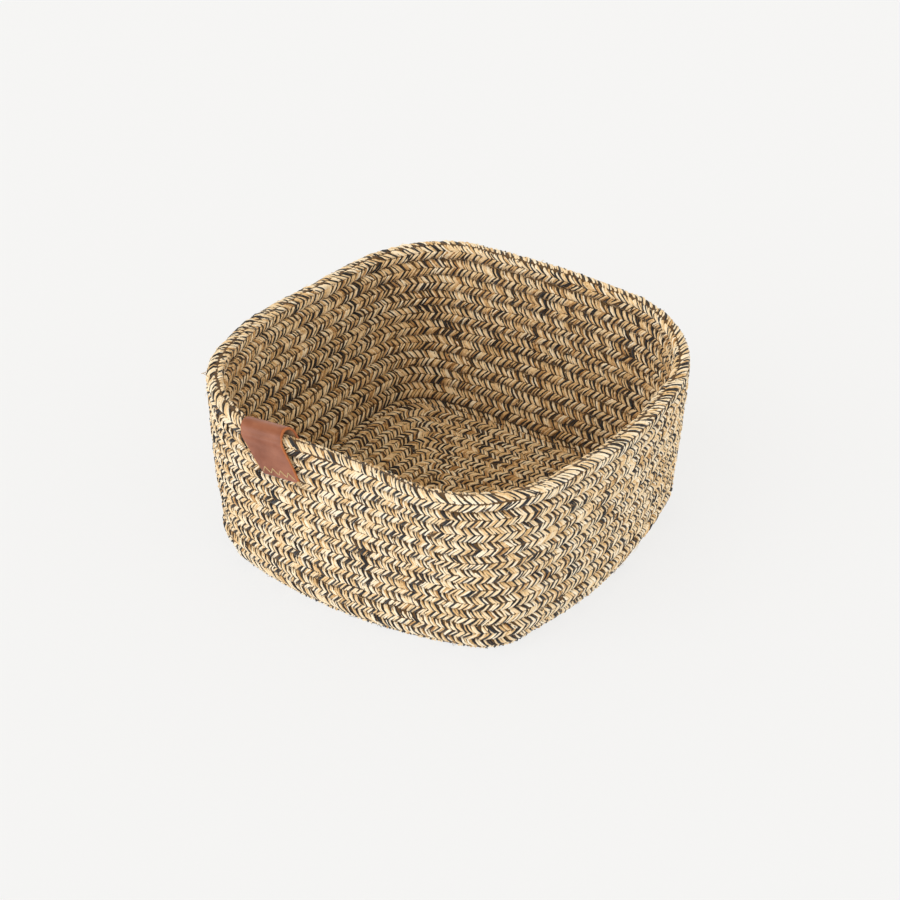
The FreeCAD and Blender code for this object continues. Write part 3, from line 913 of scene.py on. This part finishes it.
def leather_material(name, dark, light, roughness, bump_size):
    material, tree, shader = new_material(name, roughness, 0.45)
    link = tree.links.new
    place = tree.nodes.new("ShaderNodeTexCoord")
    cloud = tree.nodes.new("ShaderNodeTexNoise")
    cloud.inputs["Scale"].default_value = 90
    cloud.inputs["Detail"].default_value = 5
    link(place.outputs["Object"], cloud.inputs["Vector"])
    ramp = ramp_of(tree, ((0.35, dark), (0.65, light)))
    link(cloud.outputs["Fac"], ramp.inputs["Fac"])
    link(ramp.outputs["Color"], shader.inputs["Base Color"])
    grain = tree.nodes.new("ShaderNodeTexVoronoi")
    grain.inputs["Scale"].default_value = 1500
    link(place.outputs["Object"], grain.inputs["Vector"])
    bump = tree.nodes.new("ShaderNodeBump")
    bump.inputs["Strength"].default_value = bump_size
    bump.inputs["Distance"].default_value = 0.0002
    link(grain.outputs["Distance"], bump.inputs["Height"])
    link(bump.outputs["Normal"], shader.inputs["Normal"])
    return material


# --- making ------------------------------------------------------------------------------

camera()
studio()
cream, black, core, thread = make_materials()
cord_materials = (cream, black, core)

# How much light or shade is painted into a column's yarns, against the usual: painted light on the outside
# and on the rim's top, painted shade on the inside faces
OUTSIDE_PAINTED_LIGHT, RIM_TOP_PAINTED_LIGHT, INSIDE_PAINTED_SHADE = 0.08, 0.20, -0.12
RIM_INSIDE_PAINTED_LIGHT = 0.05
RIM_CROWN = math.radians(112)

# Columns whose floats meet elsewhere than on an ordinary course, because the lowest course
# turns under the wall and the rim's floats lap over its top
FOOT_OUT, FOOT_IN = -0.33, 2.55
# The foot's outer columns carry painted light, its inner columns painted shade
FOOT_COLUMNS = [(FOOT_OUT, 1.40, -1, OUTSIDE_PAINTED_LIGHT), (FOOT_OUT, -2.06, -1, OUTSIDE_PAINTED_LIGHT),
                (FOOT_IN, 1.45, 1, INSIDE_PAINTED_SHADE), (FOOT_IN, 3.95, 1, INSIDE_PAINTED_SHADE)]
RIM_OUT, RIM_IN = 0.45, 2.89
# The rim's outer columns and crown carry painted light, its inner face painted shade
RIM_COLUMNS = [(RIM_OUT, RIM_CROWN, -1.5, RIM_TOP_PAINTED_LIGHT), (RIM_OUT, -1.2, -1.25, RIM_TOP_PAINTED_LIGHT),
               (RIM_IN, RIM_CROWN, 1.2, RIM_INSIDE_PAINTED_LIGHT), (RIM_IN, 4.45, 1.1, INSIDE_PAINTED_SHADE)]

# Brown tufts: millimetres along the turn, spread, angle round the cord and how many
WALL_TUFT = (296.0, 15.0, 1.75, 90)
RIM_TUFT = (486.0, 5.0, 0.5, 12)
FOOT_TUFT = (690.0, 10.0, -1.1, 30)
SMALL_TUFT_PLACES = (560.0, 600.0, 645.0, 730.0, 40.0, 330.0)
SMALL_TUFT = (6.0, -1.15, 16)

# Loop of thread off the rim: along it, angle round it and depth under its face
RIM_LOOP = ((501.0, 0.9, 0.4), (498.0, 0.6, -2.0), (493.0, 0.0, -2.9),
            (487.0, -0.5, -2.0), (483.0, -0.9, 0.4))

# Outer faces carry painted light; inner faces and the base's upper face carry painted shade
outer = face_columns(TIP_RISE, -1, OUTSIDE_PAINTED_LIGHT)
inner = face_columns(math.pi - TIP_RISE, 1, INSIDE_PAINTED_SHADE)
flat = face_columns(0.0, -1, 0.0) + face_columns(math.pi, 1, INSIDE_PAINTED_SHADE)
walls = []
for course in range(COURSES):
    turn = wall_turn(course)
    walls.append(turn)
    rim = course == COURSES - 1
    node = "rim_course" if rim else f"wall_course_{course + 1}"
    columns = outer + inner
    if course == 0:
        columns = FOOT_COLUMNS
    if rim:
        columns = RIM_COLUMNS
    open_side = {0: -1, COURSES - 1: 1}.get(course, 0)
    name = "braid_rim" if rim else f"braid_wall_{course + 1}"
    cord_piece(name, node, turn, columns, cord_materials, open_side)

lines = base_lines()
bases = []
for number in range(TURNS):
    turn = base_turn(lines, number)
    bases.append(turn)
    node = "base_centre_coil" if number == 0 else f"base_turn_{number}"
    cord_piece(f"braid_base_{number}", node, turn, flat, cord_materials)

near_face = (SEAM_REACH, -SEAM_REACH)
far_face = (math.pi - SEAM_REACH, math.pi + SEAM_REACH)
pairs = list(zip(walls[:-1], walls[1:]))
flat_pairs = list(zip(bases[:-1], bases[1:]))
stitching("stitching_outside", [(*pair, *near_face) for pair in pairs], "wall_seam_thread", thread)
stitching("stitching_inside", [(*pair, *far_face) for pair in pairs[1:]], "wall_seam_thread", thread)
base_rows = [(*pair, *far_face) for pair in flat_pairs] + [(*pair, *near_face) for pair in flat_pairs]
stitching("stitching_base", base_rows, "base_seam_thread", thread)
foot, below_rim, rim_turn = walls[0], walls[-2], walls[-1]
tufts = [(walls[-3], *WALL_TUFT), (below_rim, *RIM_TUFT), (foot, *FOOT_TUFT)]
tufts += [(foot, place, *SMALL_TUFT) for place in SMALL_TUFT_PLACES]
loop = [rim_turn.point(*np.array(place)) for place in RIM_LOOP]
stray_fibres(walls, tufts, loop, [cream, thread])
leather_tab([leather_material("tab_hide", (0.235, 0.074, 0.038), (0.355, 0.132, 0.076), 0.34, 0.25),
             leather_material("tab_cut_edge", (0.38, 0.11, 0.03), (0.52, 0.17, 0.05), 0.55, 0.1),
             leather_material("tab_flesh_side", (0.42, 0.26, 0.17), (0.55, 0.38, 0.27), 0.8, 0.4)])
tab_threads(thread, below_rim)
